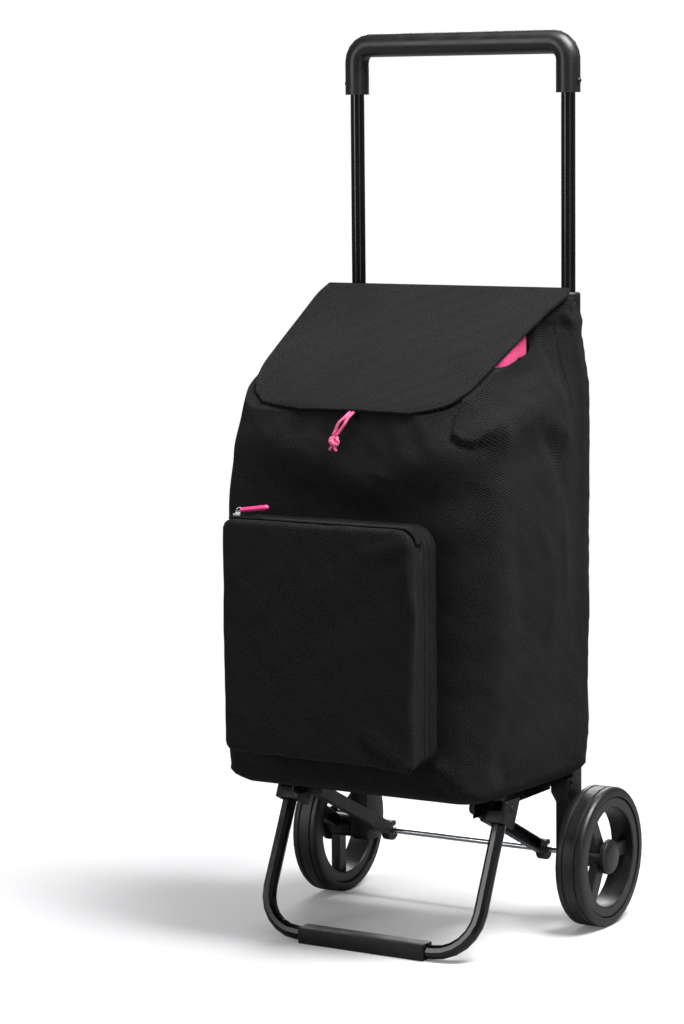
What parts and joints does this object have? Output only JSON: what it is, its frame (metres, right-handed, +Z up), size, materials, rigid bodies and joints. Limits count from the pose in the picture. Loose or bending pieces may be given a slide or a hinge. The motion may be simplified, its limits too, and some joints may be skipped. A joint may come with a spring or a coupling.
{
  "type": "shopping trolley",
  "caption": "Upright two-wheeled shopping trolley with a soft lidded bag and front pocket, a U-shaped push handle, a folding platform and a folding front foot.",
  "frame": {"origin": "on the floor, in the middle of the outline", "axes": "+Z up, the bag's front faces -Y, +X is to the right seen from the front"},
  "size_m": [0.384, 0.374, 1.014],
  "materials": {
    "black_paint": "gloss black powder coat",
    "black_plastic": "satin black moulding",
    "wheel_plastic": "satin dark grey moulding",
    "tyre_rubber": "matt dark grey",
    "zinc": "bright zinc plate",
    "black_fabric": "black woven polyester",
    "pink_fabric": "pink lining",
    "pink_plastic": "pink moulding",
    "pink_cord": "pink and white braid",
    "fibre_board": "dark hardboard"
  },
  "bodies": {
    "frame": {"axle": "zinc", "bag_body": "black_fabric", "lining_collar": "pink_fabric", "pocket": "black_fabric", "pocket_zip": "black_plastic", "drawstring_left": "pink_cord", "drawstring_right": "pink_cord", "drawstring_knot": "pink_cord", "axle_clip_left": "zinc", "axle_clip_right": "zinc", "axle_washer_left": "zinc", "axle_washer_right": "zinc", "frame_tube_left": "black_paint", "frame_tube_right": "black_paint", "tube_collar_left": "black_plastic", "tube_collar_right": "black_plastic", "rear_bracket_left": "black_plastic", "rear_bracket_right": "black_plastic", "hinge_pin_left": "zinc", "hinge_pin_right": "zinc", "bag_sleeve_left": "black_fabric", "bag_sleeve_right": "black_fabric"},
    "handle": {"handle_tube_left": "black_paint", "handle_tube_right": "black_paint", "grip": "black_plastic", "grip_screw_left": "black_plastic", "grip_screw_right": "black_plastic"},
    "button_left": {"lock_button_left": "black_plastic"},
    "button_right": {"lock_button_right": "black_plastic"},
    "wheel_left": {"tyre_left": "tyre_rubber", "rim_left": "wheel_plastic", "hub_cap_left": "wheel_plastic"},
    "wheel_right": {"tyre_right": "tyre_rubber", "rim_right": "wheel_plastic", "hub_cap_right": "wheel_plastic"},
    "platform": {"platform_plate": "black_paint", "front_bracket_left": "black_plastic", "front_bracket_right": "black_plastic", "foot_pin_left": "zinc", "foot_pin_right": "zinc", "strut_left": "black_plastic", "strut_right": "black_plastic", "strut_rivet_left": "zinc", "strut_rivet_right": "zinc", "base_board": "fibre_board"},
    "foot": {"foot_tube": "black_paint", "foot_pad": "black_plastic"},
    "flap": {"flap": "black_fabric"},
    "zip_slider": {"zip_slider": "zinc"},
    "zip_puller": {"zip_puller": "pink_plastic"}
  },
  "joints": [
    {"name": "handle_slide", "type": "slide", "parent": "frame", "child": "handle", "axis": [0, 0, -1], "range_m": [0, 0.205]},
    {"name": "button_left_press", "type": "slide", "parent": "frame", "child": "button_left", "axis": [0, -1, 0], "range_m": [0, 0.0014], "stiffness_N_per_m": 1500, "springref_m": -0.001},
    {"name": "button_right_press", "type": "slide", "parent": "frame", "child": "button_right", "axis": [0, -1, 0], "range_m": [0, 0.0014], "stiffness_N_per_m": 1500, "springref_m": -0.001},
    {"name": "wheel_left_spin", "type": "hinge", "parent": "frame", "child": "wheel_left", "pos_m": [-0.174, 0.107, 0.08], "axis": [1, 0, 0], "continuous": true},
    {"name": "wheel_right_spin", "type": "hinge", "parent": "frame", "child": "wheel_right", "pos_m": [0.174, 0.107, 0.08], "axis": [1, 0, 0], "continuous": true},
    {"name": "platform_fold", "type": "hinge", "parent": "frame", "child": "platform", "pos_m": [0, 0.087, 0.165], "axis": [-1, 0, 0], "range_deg": [0, 85], "deforming": ["bag_body", "lining_collar", "pocket", "pocket_zip"]},
    {"name": "foot_fold", "type": "hinge", "parent": "platform", "child": "foot", "pos_m": [0, -0.053, 0.162], "axis": [1, 0, 0], "range_deg": [0, 75]},
    {"name": "flap_open", "type": "hinge", "parent": "frame", "child": "flap", "pos_m": [0, 0.083, 0.7265], "axis": [-1, 0, 0], "range_deg": [0, 115]},
    {"name": "zip_slide", "type": "slide", "parent": "frame", "child": "zip_slider", "axis": [1, 0, 0], "range_m": [0, 0.205]},
    {"name": "puller_flip", "type": "hinge", "parent": "zip_slider", "child": "zip_puller", "pos_m": [-0.127, -0.1685, 0.4901], "axis": [0, -1, 0], "range_deg": [0, 75]}
  ]
}
